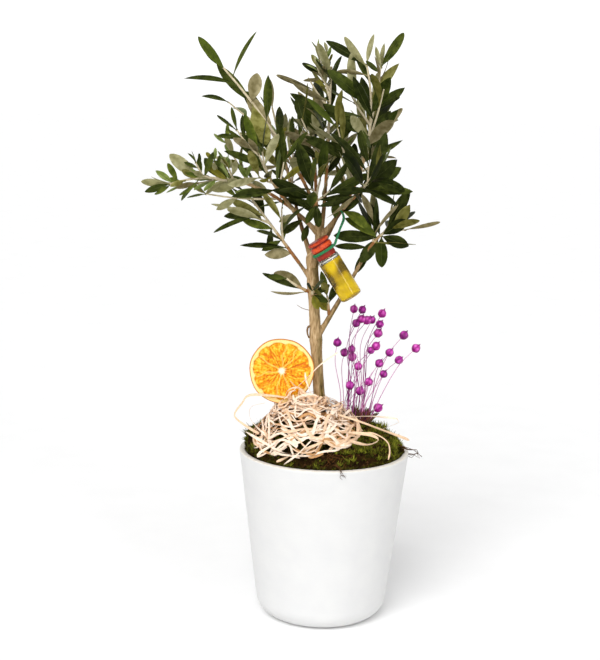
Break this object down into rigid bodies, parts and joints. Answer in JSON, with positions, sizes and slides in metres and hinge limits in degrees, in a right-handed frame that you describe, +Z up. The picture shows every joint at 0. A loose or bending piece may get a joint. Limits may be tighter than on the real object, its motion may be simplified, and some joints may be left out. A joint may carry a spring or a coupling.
{
  "type": "potted olive bonsai",
  "caption": "Young olive trained as a bonsai in a round white pot, with leafy boughs, moss, raffia, a dried orange slice, dyed flax heads and a small oil bottle.",
  "frame": {"origin": "middle of the pot's flat underside", "axes": "+Z up along the pot's axis, +X to the viewer's right, +Y away from the viewer"},
  "size_m": [0.2491, 0.1802, 0.5125],
  "materials": {
    "pot": "satin",
    "soil": "matte",
    "moss": "matte",
    "bark": "matte",
    "foliage": "satin",
    "orange": "matte",
    "raffia": "matte",
    "flax": "matte",
    "bottle_glass": "clear",
    "bottle_oil": "gloss",
    "bottle_seal": "satin",
    "bottle_tie": "matte"
  },
  "bodies": {
    "root": {"pot": "pot", "soil": "soil", "moss": "moss", "trunk": "bark", "bough_left": "bark", "bough_right": "bark", "bough_crest": "bark", "bough_top": "bark", "bough_lower_right": "bark", "bough_lower_left": "bark", "bough_right_front": "bark", "bough_front_left": "bark", "bough_front": "bark", "bough_back_left": "bark", "bough_back_right": "bark", "bough_back": "bark", "foliage_left": "foliage", "foliage_right": "foliage", "foliage_crest": "foliage", "foliage_top": "foliage", "foliage_lower_right": "foliage", "foliage_lower_left": "foliage", "foliage_right_front": "foliage", "foliage_front_left": "foliage", "foliage_front": "foliage", "foliage_back_left": "foliage", "foliage_back_right": "foliage", "foliage_back": "foliage", "foliage_sprig_left": "foliage", "foliage_sprig_trunk": "foliage", "foliage_sprig_fork": "foliage", "orange_slice": "orange", "raffia_nest": "raffia", "flax_bunch": "flax", "bottle_glass": "bottle_glass", "bottle_oil": "bottle_oil", "bottle_seal": "bottle_seal", "bottle_tie": "bottle_tie"}
  },
  "joints": []
}
